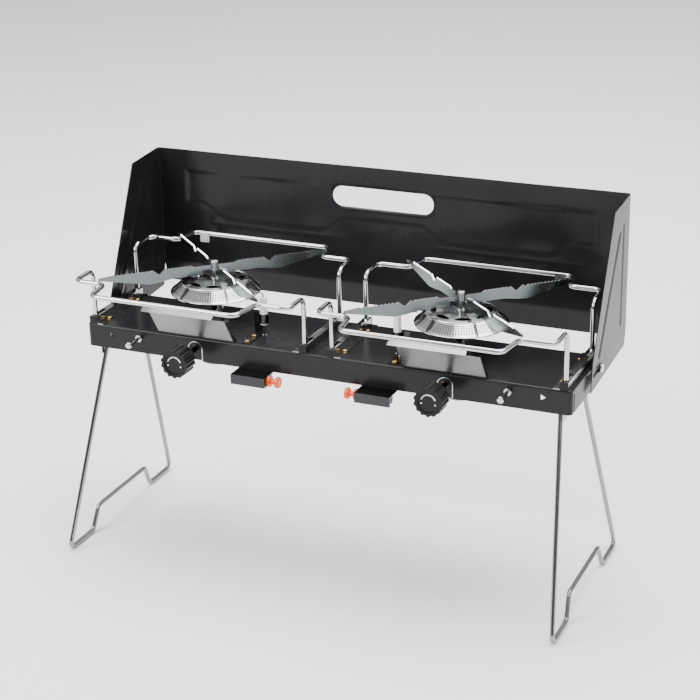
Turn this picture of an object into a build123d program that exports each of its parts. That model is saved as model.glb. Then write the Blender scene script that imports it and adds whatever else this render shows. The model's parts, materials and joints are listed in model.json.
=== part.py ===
from build123d import *
import math
import os

os.makedirs("parts", exist_ok=True)

# Two-burner folding camp stove, millimetres, +Z up, the cook faces +Y.
# Dimensions are measured from the tray: x from its middle, y from its front edge and z from its
# top face. save() moves every sub-part to the shared origin, on the ground under the middle of
# the whole stove.

# Tray and stance
TRAY_LENGTH = 530.0
TRAY_DEPTH = 100.0
TRAY_HEIGHT = 25.0
SHEET = 1.0
STAND_HEIGHT = 241.0          # tray top above the ground
MID_Y = TRAY_DEPTH / 2
BURNER_X = 136.0              # burner axis from the tray's middle
END_X = TRAY_LENGTH / 2
DRAIN_X = 236.0               # three-cornered drain holes in the front lip
DRAIN_Z = -10.0
SIDES = (("left", -1), ("right", 1))

# Sliding wire frames that carry the pot arms
WIRE = 5.0
WIRE_Z = 57.5                 # centreline of the wires' top plane
POST_OFFSET = 121.0           # posts from the burner axis, along x
POST_Y = 6.0                  # post from the tray's edge
STEP_OUT = 35.0               # posts to the step, along y
RUN_OUT_FRONT = 71.0          # posts to the long run, along y
RUN_OUT_REAR = 65.5
NOTCH_OFFSET = 86.0           # inner end of the step from the burner axis
RUN_OFFSET = 81.0             # end of the long run from the burner axis
FOOT_LENGTH = 27.0            # wire foot inside its rail
FOOT_Z = 4.2
FRAME_TRAVEL = 14.0

# Rails for the wire feet
RAIL_HALF_WIDTH = 3.9
RAIL_HEIGHT = 8.0
RAIL_WALL = 0.8
RAIL_END = 0.8
FLANGE_REACH = 11.0
RAIL_SCREW_X = 7.5
RAIL_SCREW_YS = (20.0, 80.0)
SLOT_HALF_WIDTH = 2.9

# Burner
BAND_BOTTOM_R = 46.7
BAND_BOTTOM_Z = 37.0
BAND_TOP_R = 35.0
BAND_TOP_Z = 47.0
THIN = 0.8
NECK_R = 6.5
NECK_TOP_Z = 30.0
CAP_CROWN = 3.0
PETALS = 8
GAS_Z = -12.0                 # axis of the valves, jets and gas pipe
BOWL_TOP_R = 34.0
BOWL_BOTTOM_R = 24.0
BOWL_BOTTOM_Z = -40.0
HUB_R = 2.5
HUB_TOP_Z = 67.0

# Pot arms
ARM_THICKNESS = 1.5
ARM_REACH = 122.5
ARM_ANGLE = 42.6
ARM_TOP_Z = 66.0
ARM_LAP_Z = 59.65             # where the upper and lower arm pass each other
ARM_LAP_REACH = 13.0
ARM_SLEEVE_R = 3.9
RUNNING_FIT = 0.05            # radial clearance of a pin in its hole

# Legs
LEG_ROD = 5.0
LEG_PIVOT_X = 250.0
LEG_PIVOT_Z = -24.0
LEG_PIVOT_INSET = 15.0        # pivot bends from the tray's edges
LEG_FOOT_X = 269.5
LEG_FOOT_REACH = 61.0         # foot corners beyond the tray's edges
LEG_FOOT_FLAT = 48.0
LEG_ARCH_HEIGHT = 24.5
LEG_ARCH_RUN = 12.0

# Windshield
SHIELD_X = 269.0              # outer face of the side panels
SHIELD_Y = 178.0              # outer face of the rear panel
SHIELD_TOP_Z = 145.0
FLAP_BEND_Z = 13.0
FLAP_BOTTOM_Z = -10.0
FLAP_BOTTOM_Y = 181.5
PIVOT_Y = 82.0
PIVOT_Z = -6.0
PIN_R = 2.5
SLIDE_TRAVEL = 22.0
HANDLE_LENGTH = 116.0
HANDLE_HEIGHT = 23.0
HANDLE_Z = 110.5
PRESS_DEPTH = 0.8

# Controls
KNOB_X = 137.0
KNOB_R = 15.0
KNOB_FRONT_Y = -46.0
KNOB_BACK_Y = -22.0
KNOB_LOBES = 14
STEM_R = 3.0
IGNITER_INNER_X = 49.0
IGNITER_OUTER_X = 87.0
IGNITER_Y = -10.5
IGNITER_Z = -30.8
BUTTON_TRAVEL = 5.0
ELECTRODE_OFFSET = 62.0       # from the burner axis, towards the middle of the tray
ELECTRODE_Y = 35.0
STUD_X = 202.0
STUD_Z = -8.5
INLET_R = 5.5
INLET_Y = 74.0
INLET_BOTTOM_Z = -37.0

FRONT_Y = POST_Y - RUN_OUT_FRONT - WIRE / 2
ORIGIN = Pos(0, -(FRONT_Y + FLAP_BOTTOM_Y) / 2, STAND_HEIGHT)


def save(name, *solids):
    """Write one sub-part, as one solid or as a group of separate solids."""
    placed = [ORIGIN * solid for solid in solids]
    shape = placed[0] if len(placed) == 1 else Compound(children=placed)
    export_step(shape, f"parts/{name}.step")


def block(x, y, z):
    """A box between two limits on each axis."""
    centre = Pos((x[0] + x[1]) / 2, (y[0] + y[1]) / 2, (z[0] + z[1]) / 2)
    return centre * Box(abs(x[1] - x[0]), abs(y[1] - y[0]), abs(z[1] - z[0]))


def rod_x(x, y, z, radius):
    return Pos((x[0] + x[1]) / 2, y, z) * Rot(0, 90, 0) * Cylinder(radius, abs(x[1] - x[0]))


def rod_y(x, y, z, radius):
    return Pos(x, (y[0] + y[1]) / 2, z) * Rot(90, 0, 0) * Cylinder(radius, abs(y[1] - y[0]))


def rod_z(x, y, z, radius):
    return Pos(x, y, (z[0] + z[1]) / 2) * Cylinder(radius, abs(z[1] - z[0]))


def bent_rod(points, diameter, bends):
    """A round rod along straight runs, with a centreline radius for each corner in turn."""
    corners = [Vector(*point) for point in points]
    edges = []
    start = corners[0]
    for before, corner, after, bend in zip(corners, corners[1:], corners[2:], bends):
        back = (before - corner).normalized()
        ahead = (after - corner).normalized()
        half_angle = math.acos(back.dot(ahead)) / 2
        reach = bend / math.tan(half_angle)
        middle = corner + (back + ahead).normalized() * (bend / math.sin(half_angle) - bend)
        edges.append(Line(start, corner + back * reach))
        edges.append(ThreePointArc(corner + back * reach, middle, corner + ahead * reach))
        start = corner + ahead * reach
    edges.append(Line(start, corners[-1]))
    section = Plane(corners[0], z_dir=corners[1] - corners[0]) * Circle(diameter / 2)
    return sweep(section, path=Wire(edges))


def ring_of_profile(points, x=0.0, y=0.0):
    """A solid of revolution about a vertical axis, from (radius, z) points."""
    face = Plane.XZ * make_face(Polyline(*points, close=True))
    return Pos(x, y, 0) * revolve(face, Axis.Z)


def sheet_in_yz(points, x, thickness):
    """A flat sheet that faces along x, from (y, z) points."""
    face = Plane.YZ.offset(x) * make_face(Polyline(*points, close=True))
    return extrude(face, thickness)


def mirrored_y(shape):
    """The same shape on the other side of the tray's middle line."""
    return Pos(0, TRAY_DEPTH, 0) * mirror(shape, about=Plane.XZ)


# ---- Tray -----------------------------------------------------------------------------------

SCREW_R = 1.5
SHIELD_RIVET_X = 30.0
SHIELD_FOOT_Y = 6.0
BRACKET_SCREW_YS = (9.0, 25.0)
BRACKET_OFFSET = 55.0


def rail_places():
    """Name, x and burner side of the four rails."""
    for name, side in SIDES:
        yield f"rail_outer_{name}", side * (BURNER_X + POST_OFFSET), -side
        yield f"rail_inner_{name}", side * (BURNER_X - POST_OFFSET), side


def tray():
    corner, bend = 5.0, 2.0

    def pan(inset, drop):
        length, depth = TRAY_LENGTH - 2 * inset, TRAY_DEPTH - 2 * inset
        body = Pos(0, MID_Y, -TRAY_HEIGHT / 2 - drop) * Box(length, depth, TRAY_HEIGHT)
        body = fillet(body.edges().filter_by(Axis.Z), corner - inset)
        return fillet(body.faces().sort_by(Axis.Z)[-1].edges(), bend - inset)

    shape = pan(0, 0) - pan(SHEET, SHEET)
    for side in (-1, 1):
        # The lips and the end flanges are separate bends, with an open slot between them.
        for y in (8.0, TRAY_DEPTH - 8.0):
            slot = (y - 1.5, y + 1.5)
            shape -= block((side * (END_X - 7), side * (END_X + 1)), slot, (-TRAY_HEIGHT - 1, -5))
        stem_cut = rod_y(side * KNOB_X, (-1, 3), GAS_Z, 8.0)
        stem_cut += block((side * KNOB_X - 8, side * KNOB_X + 8), (-1, 3), (-TRAY_HEIGHT - 1, GAS_Z))
        shape -= stem_cut
        shape -= rod_z(side * BURNER_X, MID_Y, (-5, 5), NECK_R - 0.5)
        shape -= rod_y(side * STUD_X, (-1, 3), STUD_Z, 2.1)
        shape -= rod_x((side * (END_X - 5), side * (END_X + 3)), PIVOT_Y, PIVOT_Z, PIN_R + RUNNING_FIT)
        shape -= rod_z(side * (BURNER_X - ELECTRODE_OFFSET), ELECTRODE_Y, (-5, 5), 2.5)
        drain = Pos(side * DRAIN_X, 3, DRAIN_Z) * Rot(90, 0, 0) * extrude(RegularPolygon(3.5, 3), 4)
        shape -= drain
        for y in BRACKET_SCREW_YS:
            shape -= rod_z(side * (BURNER_X - BRACKET_OFFSET), y, (-5, 5), SCREW_R)
        for offset in (-SHIELD_RIVET_X, SHIELD_RIVET_X):
            shape -= rod_z(side * BURNER_X + offset, SHIELD_FOOT_Y, (-5, 5), SCREW_R)
    for _, x, burner_side in rail_places():
        for y in RAIL_SCREW_YS:
            shape -= rod_z(x + burner_side * RAIL_SCREW_X, y, (-5, 5), SCREW_R)
    return shape


save("tray", tray())


# ---- Rails, their screws and end plugs ------------------------------------------------------

def rail(x, burner_side):
    """A channel with a foot flange, slotted on top where the two posts travel."""
    length = (RAIL_END, TRAY_DEPTH - RAIL_END)
    inner = RAIL_HALF_WIDTH - RAIL_WALL
    shape = block((-RAIL_HALF_WIDTH, RAIL_HALF_WIDTH), length, (0, RAIL_HEIGHT))
    shape -= block((-inner, inner), (-1, TRAY_DEPTH + 1), (RAIL_WALL, RAIL_HEIGHT - RAIL_WALL))
    shape += block((RAIL_HALF_WIDTH - RAIL_WALL, FLANGE_REACH), length, (0, RAIL_WALL))
    slot_start = POST_Y - WIRE / 2 - 0.4
    slot_end = POST_Y + FRAME_TRAVEL + WIRE + 0.4
    slot = block((-SLOT_HALF_WIDTH, SLOT_HALF_WIDTH), (slot_start, slot_end), (4, 10))
    shape -= slot + mirrored_y(slot)
    for y in RAIL_SCREW_YS:
        shape -= rod_z(RAIL_SCREW_X, y, (-1, 3), SCREW_R)
    if burner_side < 0:
        shape = mirror(shape, about=Plane.YZ)
    return Pos(x, 0, 0) * shape


def pan_head_screw(x, y, seat_z, shank_to):
    """A domed screw head on its seat, with a cross slot and a shank below."""
    head = Pos(x, y, seat_z) * Cylinder(2.8, 1.6, align=(Align.CENTER, Align.CENTER, Align.MIN))
    head = fillet(head.faces().sort_by(Axis.Z)[-1].edges(), 0.9)
    for turn in (0, 90):
        head -= Pos(x, y, seat_z + 1.5) * Rot(0, 0, turn) * Box(3.0, 0.6, 1.2)
    return head + rod_z(x, y, (shank_to, seat_z + 0.4), SCREW_R)


def end_plug():
    """A plastic plug in the front end of a rail."""
    inner = RAIL_HALF_WIDTH - RAIL_WALL
    plug = block((-inner, inner), (RAIL_END, 3.0), (RAIL_WALL, RAIL_HEIGHT - RAIL_WALL))
    return plug + block((-4.2, 4.2), (0, RAIL_END), (0.2, RAIL_HEIGHT + 0.3))


brass_screws = []
end_plugs = []
for rail_name, rail_x, toward_burner in rail_places():
    save(rail_name, rail(rail_x, toward_burner))
    for screw_y in RAIL_SCREW_YS:
        screw_x = rail_x + toward_burner * RAIL_SCREW_X
        brass_screws.append(pan_head_screw(screw_x, screw_y, RAIL_WALL, -4))
    end_plugs.append(Pos(rail_x, 0, 0) * end_plug())
    end_plugs.append(mirrored_y(end_plugs[-1]))
save("rail_end_plugs", *end_plugs)


# ---- Wire frames ----------------------------------------------------------------------------

def wire_frame(run_out):
    """Front wire frame about its burner axis: two posts, a step beside each and a long run."""
    foot = (POST_OFFSET, POST_Y + FOOT_LENGTH, FOOT_Z)
    half = [
        foot,
        (POST_OFFSET, POST_Y, FOOT_Z),
        (POST_OFFSET, POST_Y, WIRE_Z),
        (POST_OFFSET, POST_Y - STEP_OUT, WIRE_Z),
        (NOTCH_OFFSET, POST_Y - STEP_OUT, WIRE_Z),
        (RUN_OFFSET, POST_Y - run_out, WIRE_Z),
    ]
    other_half = [(-x, y, z) for x, y, z in reversed(half)]
    foot_bend, top_bend, step_bend = 5.0, 9.0, 8.0
    bends = [foot_bend, top_bend, top_bend, step_bend, step_bend]
    return bent_rod(half + other_half, WIRE, bends + bends[::-1])


def rear_clip(x):
    """A small sheet clip that hangs on the inner side of the rear run."""
    run_y = TRAY_DEPTH - POST_Y + RUN_OUT_REAR
    face = run_y - WIRE / 2
    return block((x - 5.5, x + 5.5), (face - THIN, face), (WIRE_Z - 9.5, WIRE_Z + 1.5))


for side_name, side in SIDES:
    place = Pos(side * BURNER_X, 0, 0)
    save(f"wire_frame_front_{side_name}", place * wire_frame(RUN_OUT_FRONT))
    save(f"wire_frame_rear_{side_name}", place * mirrored_y(wire_frame(RUN_OUT_REAR)))
    save(f"rear_clip_{side_name}", rear_clip(side * (BURNER_X + 68)))


# ---- Burners --------------------------------------------------------------------------------

def burner_neck():
    """Upright tube on the tray, with a flange and a front air hole."""
    shape = ring_of_profile([
        (NECK_R - 0.9, 0), (12, 0), (12, THIN), (NECK_R, THIN), (NECK_R, NECK_TOP_Z),
        (NECK_R - 0.9, NECK_TOP_Z)])
    return shape - rod_y(0, (-20, 0), 19, 3.2)


def burner_pan():
    """Flared sheet pan between the neck and the perforated band."""
    return ring_of_profile([
        (4, NECK_TOP_Z), (NECK_R + 2, NECK_TOP_Z), (BAND_BOTTOM_R - 0.6, BAND_BOTTOM_Z - THIN),
        (BAND_BOTTOM_R + 0.6, BAND_BOTTOM_Z - THIN), (BAND_BOTTOM_R + 0.6, BAND_BOTTOM_Z),
        (BAND_BOTTOM_R - 1.4, BAND_BOTTOM_Z), (NECK_R + 2, NECK_TOP_Z + THIN),
        (4, NECK_TOP_Z + THIN)])


def burner_band():
    """Conical band that carries the flame ports."""
    return ring_of_profile([
        (BAND_BOTTOM_R - 1.2, BAND_BOTTOM_Z), (BAND_BOTTOM_R, BAND_BOTTOM_Z),
        (BAND_TOP_R, BAND_TOP_Z), (BAND_TOP_R - 1.2, BAND_TOP_Z)])


def burner_cap():
    """Domed cap with lens-shaped ports round its edge and a hole for the hub post."""
    radius = BAND_TOP_R
    rise = CAP_CROWN
    sphere_r = (radius ** 2 + rise ** 2) / (2 * rise)
    centre_z = BAND_TOP_Z + THIN + rise - sphere_r
    dome = Pos(0, 0, centre_z) * (Sphere(sphere_r) - Sphere(sphere_r - THIN))
    shape = dome & rod_z(0, 0, (BAND_TOP_Z, BAND_TOP_Z + 8), radius - 0.2)
    shape += ring_of_profile([
        (radius - 1.6, BAND_TOP_Z), (radius + 0.3, BAND_TOP_Z),
        (radius + 0.3, BAND_TOP_Z + THIN), (radius - 1.6, BAND_TOP_Z + THIN)])
    lens = Pos(13, 0) * Circle(16) & Pos(-13, 0) * Circle(16)
    for index in range(PETALS):
        turn = Rot(0, 0, (index + 0.5) * 360 / PETALS)
        shape -= Pos(0, 0, BAND_TOP_Z - 2) * turn * Pos(27.5, 0, 0) * extrude(lens, 10)
    return shape - rod_z(0, 0, (40, 60), HUB_R)


def hub_post():
    """Pivot post of the two pot arms, with a collar below and a slotted head on top."""
    cap_top = BAND_TOP_Z + THIN + CAP_CROWN
    shape = rod_z(0, 0, (BAND_TOP_Z + 1, HUB_TOP_Z), HUB_R)
    shape += rod_z(0, 0, (cap_top, cap_top + 1.4), 5.0)
    head = rod_z(0, 0, (HUB_TOP_Z, HUB_TOP_Z + 2.2), 3.9)
    head = fillet(head.faces().sort_by(Axis.Z)[-1].edges(), 1.2)
    head -= Pos(0, 0, HUB_TOP_Z + 2.2) * Box(12, 1.0, 1.6)
    return shape + head


def mixing_tube():
    """Venturi tube from the jet to the neck, with air holes at its mouth."""
    outer, inner = 5.4, 4.4
    mouth_y, top_z = 20.0, 14.0

    def elbow(radius, extra):
        run = rod_y(0, (mouth_y - extra, MID_Y), GAS_Z, radius)
        riser = rod_z(0, MID_Y, (GAS_Z, top_z + extra), radius)
        return run + riser + Pos(0, MID_Y, GAS_Z) * Sphere(radius)

    shape = elbow(outer, 0) - elbow(inner, 1)
    return shape - rod_x((-8, 8), mouth_y + 7, GAS_Z, 2.2)


def burner_bowl():
    """Round sheet bowl under the tray that shelters the mixing tube."""
    wall = THIN
    top_z = -SHEET
    shape = ring_of_profile([
        (0, BOWL_BOTTOM_Z), (BOWL_BOTTOM_R - 4, BOWL_BOTTOM_Z), (BOWL_BOTTOM_R, BOWL_BOTTOM_Z + 4),
        (BOWL_TOP_R - 3, top_z - wall), (BOWL_TOP_R, top_z - wall), (BOWL_TOP_R, top_z),
        (BOWL_TOP_R - 3 - wall, top_z), (BOWL_BOTTOM_R - wall, BOWL_BOTTOM_Z + 4 + wall / 2),
        (BOWL_BOTTOM_R - 4 - wall / 2, BOWL_BOTTOM_Z + wall), (0, BOWL_BOTTOM_Z + wall)])
    return shape - rod_y(0, (-BOWL_TOP_R - 1, 0), GAS_Z, 6.5)


for side_name, side in SIDES:
    burner = Pos(side * BURNER_X, MID_Y, 0)
    save(f"burner_neck_{side_name}", burner * burner_neck())
    save(f"burner_pan_{side_name}", burner * burner_pan())
    save(f"burner_band_{side_name}", burner * burner_band())
    save(f"burner_cap_{side_name}", burner * burner_cap())
    save(f"hub_post_{side_name}", burner * hub_post())
    save(f"burner_bowl_{side_name}", burner * burner_bowl())
save("mixing_tubes", *[Pos(side * BURNER_X, 0, 0) * mixing_tube() for _, side in SIDES])


# ---- Pot arms -------------------------------------------------------------------------------

def teeth(start, end, count, top, depth):
    """Saw teeth along a top edge."""
    pitch = (end - start) / count
    points = []
    for index in range(count):
        points.append((start + index * pitch, top - depth))
        points.append((start + (index + 0.5) * pitch, top))
    points.append((end, top - depth))
    return points


def arm_half_outline():
    """Edge of one half arm from the hub outwards and back, as (reach, z)."""
    top = ARM_TOP_Z
    upper = [(0, top - 2), (22, top - 2), (26, top)]
    upper += teeth(28, 50, 7, top, 1.0)
    upper += [(53, top), (59, top - 5.5), (66, top)]
    upper += teeth(70, 104, 9, top, 1.3)
    # The lower edge tapers to the tip, which passes just above the wire frame.
    tip = [(107, top), (ARM_REACH, top - 1.5), (ARM_REACH, 62.1)]
    lower = [(70, 51.5), (58, 52.5), (46, 54.5), (0, 54.5)]
    return upper + tip + lower


def pot_arm(is_upper):
    """A strip on edge with a sleeve on the hub post, halved where it crosses its partner."""
    outline = arm_half_outline()
    upright = Plane.XZ.offset(-ARM_THICKNESS / 2)
    half = extrude(upright * make_face(Polyline(*outline, close=True)), ARM_THICKNESS)
    strip = half + mirror(half, about=Plane.YZ)
    gap = 0.2
    if is_upper:
        sleeve_span = (ARM_LAP_Z + gap, HUB_TOP_Z - 0.3)
        cut_span = (50, ARM_LAP_Z + gap)
    else:
        sleeve_span = (BAND_TOP_Z + THIN + CAP_CROWN + 1.7, ARM_LAP_Z - gap)
        cut_span = (ARM_LAP_Z - gap, 70)
    lap = (-ARM_LAP_REACH, ARM_LAP_REACH)
    strip -= block(lap, (-2, 2), cut_span)
    strip += rod_z(0, 0, sleeve_span, ARM_SLEEVE_R)
    return strip - rod_z(0, 0, (50, 70), HUB_R + RUNNING_FIT)


for side_name, side in SIDES:
    hub = Pos(side * BURNER_X, MID_Y, 0)
    save(f"pot_arm_upper_{side_name}", hub * Rot(0, 0, ARM_ANGLE) * pot_arm(True))
    save(f"pot_arm_lower_{side_name}", hub * Rot(0, 0, -ARM_ANGLE) * pot_arm(False))


# ---- Heat shields in front of the burners ---------------------------------------------------

def heat_shield():
    """A sheet that leans out over the controls, with a foot, side gussets and a top flange."""
    half_width = 43.0
    foot_y, lean_y, top_z = 2.0, -16.5, 29.0
    side_view = [
        (foot_y + 8, 0), (foot_y, 0), (lean_y, top_z), (lean_y + 0.9, top_z),
        (foot_y + 0.8, THIN), (foot_y + 8, THIN)]
    shape = sheet_in_yz(side_view, -half_width, 2 * half_width)
    gusset = [(foot_y + 0.4, 0), (foot_y + 8, 0), (foot_y + 8, THIN), (foot_y - 5, 11.5)]
    for x in (-half_width, half_width - THIN):
        shape += sheet_in_yz(gusset, x, THIN)
    # The top flange is offset to the left and has rounded rear corners.
    flange = block((-half_width - 10, half_width - 15), (0, 9), (-THIN, 0))
    flange = fillet(flange.edges().filter_by(Axis.Z).sort_by(Axis.Y)[-2:], 6)
    shape += Pos(0, lean_y, top_z) * Rot(30, 0, 0) * flange
    for offset in (-SHIELD_RIVET_X, SHIELD_RIVET_X):
        shape -= rod_z(offset, SHIELD_FOOT_Y, (-1, 3), SCREW_R)
    return shape


for side_name, side in SIDES:
    save(f"heat_shield_{side_name}", Pos(side * BURNER_X, 0, 0) * heat_shield())
    for rivet_offset in (-SHIELD_RIVET_X, SHIELD_RIVET_X):
        brass_screws.append(pan_head_screw(side * BURNER_X + rivet_offset, SHIELD_FOOT_Y, THIN, -4))


# ---- Ignition -------------------------------------------------------------------------------

def electrode_bracket(side):
    """Screwed foot with an upright that grips the ceramic in a ring."""
    x = side * (BURNER_X - ELECTRODE_OFFSET)
    foot_x = side * (BURNER_X - BRACKET_OFFSET)
    foot = block((foot_x - 5, foot_x + 5), (4, ELECTRODE_Y + 3), (0, SHEET))
    upright = block((foot_x - 5, foot_x + 5), (ELECTRODE_Y + 2, ELECTRODE_Y + 3), (0, 23))
    reach = block((x, foot_x), (ELECTRODE_Y + 2, ELECTRODE_Y + 3), (13, 23))
    ring = rod_z(x, ELECTRODE_Y, (13, 23), 5.0)
    shape = foot + upright + reach + ring - rod_z(x, ELECTRODE_Y, (5, 30), 4.0)
    for y in BRACKET_SCREW_YS:
        shape -= rod_z(foot_x, y, (-1, 3), SCREW_R)
    return shape


def electrode_ceramic(side):
    x = side * (BURNER_X - ELECTRODE_OFFSET)
    shape = rod_z(x, ELECTRODE_Y, (11, 41), 4.0)
    shape = chamfer(shape.edges().filter_by(GeomType.CIRCLE), 0.6)
    return shape - rod_z(x, ELECTRODE_Y, (10, 42), 0.8)


def electrode_pin(side):
    """Spark wire through the ceramic, bent over towards the flame ports."""
    x = side * (BURNER_X - ELECTRODE_OFFSET)
    tip_x = side * (BURNER_X - ELECTRODE_OFFSET + 20)
    route = [(x, ELECTRODE_Y, 10), (x, ELECTRODE_Y, 45), (tip_x, ELECTRODE_Y + 4, 45)]
    return bent_rod(route, 1.6, [3.0])


def ignition_lead(side):
    """Sleeved lead from the ceramic down through the tray and under the lip to the piezo."""
    x = side * (BURNER_X - ELECTRODE_OFFSET)
    route = [
        (x, ELECTRODE_Y, 10), (x, ELECTRODE_Y, -18), (x, 4, -18), (x, 4, -30), (x, -6, -30)]
    return bent_rod(route, 2.4, [4.0] * 3)


def igniter_holder(side):
    """Channel under the front lip, with a tab fixed behind the lip."""
    x = (side * IGNITER_INNER_X, side * IGNITER_OUTER_X)
    shape = block(x, (-20, 2), (-TRAY_HEIGHT - SHEET, -TRAY_HEIGHT))
    shape += block(x, (-20, -19), (-35.5, -TRAY_HEIGHT))
    shape += block((side * 58, side * 66), (SHEET, 2 * SHEET), (-TRAY_HEIGHT, -8))
    end = block((x[0], x[0] + side * SHEET), (-20, -2), (-35.5, -TRAY_HEIGHT))
    return shape + end - rod_x((side * 40, side * 60), IGNITER_Y, IGNITER_Z, 4.45)


def piezo_body(side):
    shape = rod_x((side * 51, side * 85), IGNITER_Y, IGNITER_Z, 4.4)
    return shape - rod_x((side * 50, side * 68), IGNITER_Y, IGNITER_Z, 2.85)


def piezo_collar(side):
    """Coloured nose of the igniter that guides the button."""
    shape = rod_x((side * 46, side * IGNITER_INNER_X), IGNITER_Y, IGNITER_Z, 5.6)
    shape += rod_x((side * 48, side * 51), IGNITER_Y, IGNITER_Z, 4.4)
    return shape - rod_x((side * 45, side * 52), IGNITER_Y, IGNITER_Z, 2.85)


def igniter_button(side):
    """Push head and stem of the igniter."""
    head = rod_x((side * 36, side * 40.5), IGNITER_Y, IGNITER_Z, 5.8)
    head = fillet(head.edges().filter_by(GeomType.CIRCLE), 1.2)
    return head + rod_x((side * 40, side * (52 + BUTTON_TRAVEL)), IGNITER_Y, IGNITER_Z, 2.8)


both = [side for _, side in SIDES]
save("electrode_brackets", *[electrode_bracket(side) for side in both])
save("electrode_ceramics", *[electrode_ceramic(side) for side in both])
save("electrode_pins", *[electrode_pin(side) for side in both])
save("ignition_leads", *[ignition_lead(side) for side in both])
save("igniter_holders", *[igniter_holder(side) for side in both])
save("piezo_bodies", *[piezo_body(side) for side in both])
save("piezo_collars", *[piezo_collar(side) for side in both])
for side_name, side in SIDES:
    save(f"igniter_button_{side_name}", igniter_button(side))
    for screw_y in BRACKET_SCREW_YS:
        brass_screws.append(pan_head_screw(side * (BURNER_X - BRACKET_OFFSET), screw_y, SHEET, -4))
save("brass_screws", *brass_screws)


# ---- Gas train and knobs --------------------------------------------------------------------

def valve_body(side):
    x = side * KNOB_X
    shape = rod_y(x, (2 * SHEET, 15), GAS_Z, 8.0) + rod_y(x, (15, 18), GAS_Z, 5.5)
    shape -= rod_x((x - side * 9, x - side * 4), 9, GAS_Z, 4.0)
    shape -= rod_y(x, (1, 9), GAS_Z, STEM_R + RUNNING_FIT)
    return shape - rod_y(x, (14, 19), GAS_Z, 2.0)


def gas_jet(side):
    x = side * KNOB_X
    shape = rod_y(x, (14, 18), GAS_Z, 2.0) + rod_y(x, (18, 23), GAS_Z, 3.0)
    return shape - rod_y(x, (13, 24), GAS_Z, 0.5)


def valve_bracket(side):
    """Plate behind the front lip that carries the valve."""
    x = side * KNOB_X
    shape = block((x - 15, x + 15), (SHEET, 2 * SHEET), (-24, -2))
    return shape - rod_y(x, (0, 3), GAS_Z, STEM_R + 0.3)


def gas_pipe():
    """Pipe between the two valves with a branch back to the inlet."""
    reach = KNOB_X - 4.5
    shape = rod_x((-reach, reach), 9, GAS_Z, 4.0) + rod_y(0, (9, INLET_Y - 5), GAS_Z, 3.5)
    inner = rod_x((-reach - 1, reach + 1), 9, GAS_Z, 3.0) + rod_y(0, (9, INLET_Y), GAS_Z, 2.5)
    return shape - inner


def gas_inlet():
    """Elbow under the tray with a hexagon and a nipple that points down, for a gas hose."""
    hexagon = Pos(0, INLET_Y, INLET_BOTTOM_Z + 11) * extrude(RegularPolygon(8, 6), 5)
    shape = hexagon + rod_z(0, INLET_Y, (INLET_BOTTOM_Z + 15, -SHEET), 7.0)
    shape += rod_z(0, INLET_Y, (INLET_BOTTOM_Z, INLET_BOTTOM_Z + 12), INLET_R)
    shape -= rod_z(0, INLET_Y, (INLET_BOTTOM_Z - 1, GAS_Z), 2.6)
    shape -= rod_y(0, (INLET_Y - 9, INLET_Y - 5), GAS_Z, 3.5)
    return shape - rod_y(0, (INLET_Y - 9, INLET_Y), GAS_Z, 2.4)


def knob(side):
    """Scalloped knob with a collar, on its stem."""
    face = Circle(KNOB_R)
    scallop_r = 2.6
    for index in range(KNOB_LOBES):
        turn = Rot(0, 0, index * 360 / KNOB_LOBES)
        face -= turn * Pos(KNOB_R + 1.3, 0) * Circle(scallop_r)
    depth = KNOB_BACK_Y - KNOB_FRONT_Y - 5
    grip = Pos(side * KNOB_X, KNOB_FRONT_Y + depth, GAS_Z) * Rot(90, 0, 0) * extrude(face, depth)
    collar = rod_y(side * KNOB_X, (KNOB_FRONT_Y + depth - 1, KNOB_BACK_Y), GAS_Z, 11.0)
    dish = rod_y(side * KNOB_X, (KNOB_FRONT_Y - 1, KNOB_FRONT_Y + 1.2), GAS_Z, 11.0)
    bore = rod_y(side * KNOB_X, (KNOB_BACK_Y - 14, KNOB_BACK_Y + 1), GAS_Z, STEM_R)
    return grip + collar - dish - bore


def valve_stem(side):
    return rod_y(side * KNOB_X, (KNOB_BACK_Y - 14, 8), GAS_Z, STEM_R)


save("valve_bodies", *[valve_body(side) for side in both])
save("gas_jets", *[gas_jet(side) for side in both])
save("valve_brackets", *[valve_bracket(side) for side in both])
save("gas_pipe", gas_pipe())
save("gas_inlet", gas_inlet())
for side_name, side in SIDES:
    save(f"knob_{side_name}", knob(side))
    save(f"valve_stem_{side_name}", valve_stem(side))


# ---- Front studs ----------------------------------------------------------------------------

def front_stud(side):
    """Round-headed stud that stands out of the front lip."""
    head = rod_y(side * STUD_X, (-25, -22), STUD_Z, 3.4)
    head = fillet(head.edges().filter_by(GeomType.CIRCLE).sort_by(Axis.Y)[:1], 1.4)
    return head + rod_y(side * STUD_X, (-22.5, 6), STUD_Z, 2.0)


def hex_nut(across_corners, thickness, bore_r):
    """A nut on the local z axis, from z = 0 up."""
    return extrude(RegularPolygon(across_corners / 2, 6) - Circle(bore_r), thickness)


def stud_nuts(side):
    front = Pos(side * STUD_X, 0, STUD_Z) * Rot(90, 0, 0) * hex_nut(8, 3, 2.0)
    back = Pos(side * STUD_X, 4, STUD_Z) * Rot(90, 0, 0) * hex_nut(8, 3, 2.0)
    return [front, back]


save("front_studs", *[front_stud(side) for side in both])
save("stud_nuts", *(stud_nuts(-1) + stud_nuts(1)))


# ---- Legs -----------------------------------------------------------------------------------

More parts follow.
